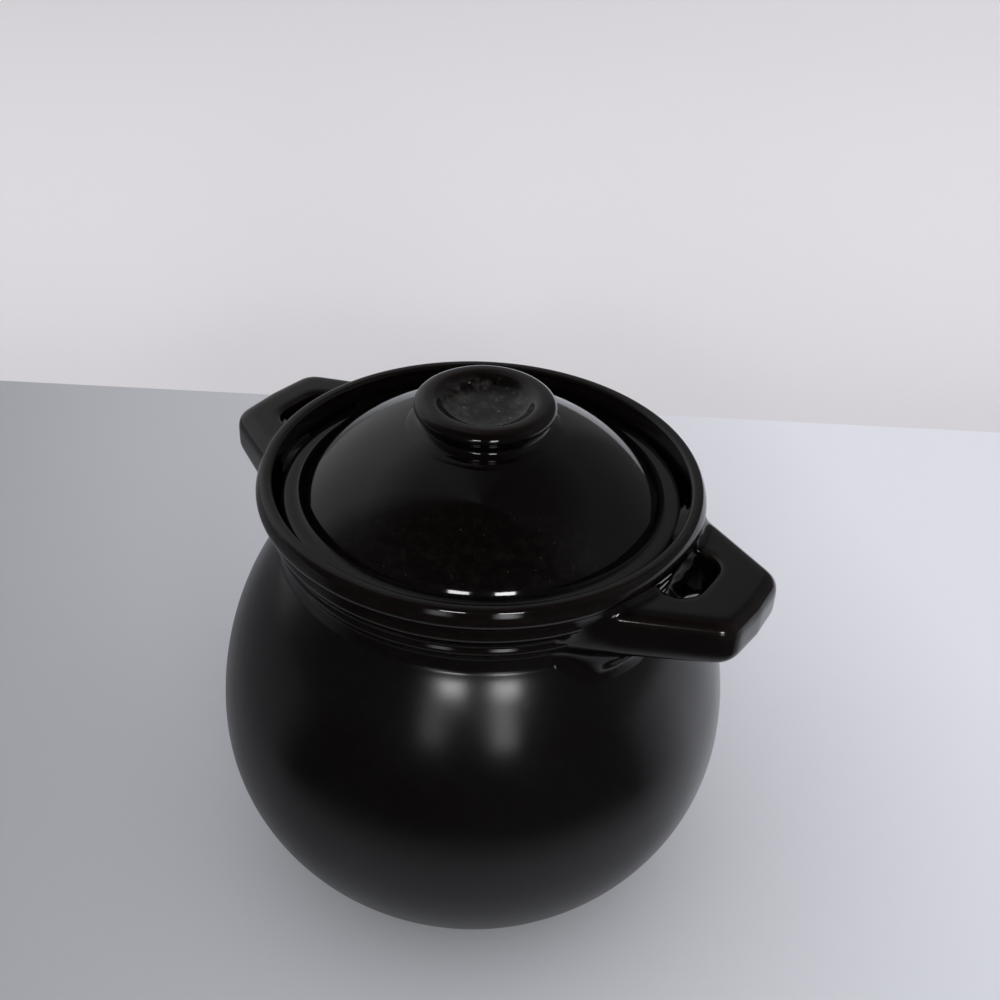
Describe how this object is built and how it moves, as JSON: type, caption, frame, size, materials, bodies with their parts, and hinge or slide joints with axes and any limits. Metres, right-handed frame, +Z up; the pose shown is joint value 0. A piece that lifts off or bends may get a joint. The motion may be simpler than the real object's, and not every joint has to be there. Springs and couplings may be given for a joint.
{
  "type": "lidded clay soup pot",
  "caption": "Globe-bellied glazed clay soup pot with rolled lip, ribbed neck, loop handles luted under the lip and a domed lift-off lid with a dished knob.",
  "frame": {"origin": "centre of the flat underside of the foot", "axes": "+Z up along the pot's turning axis, X along the two handles, the longer handle on +X"},
  "size_m": [0.229, 0.205, 0.219],
  "materials": {
    "body_glaze": "glossy near-black glaze, softer on the belly",
    "handle_glaze": "glossy near-black glaze, thinner and browner on the edges",
    "lid_glaze": "mirror-glossy near-black glaze"
  },
  "bodies": {
    "pot": {"pot_body": "body_glaze", "handle_right": "handle_glaze", "handle_left": "handle_glaze"},
    "lid": {"lid": "lid_glaze", "lid_knob": "lid_glaze"}
  },
  "joints": [
    {"name": "lid_lift", "type": "slide", "parent": "pot", "child": "lid", "axis": [0, 0, 1], "range_m": [0, 0.12]}
  ]
}
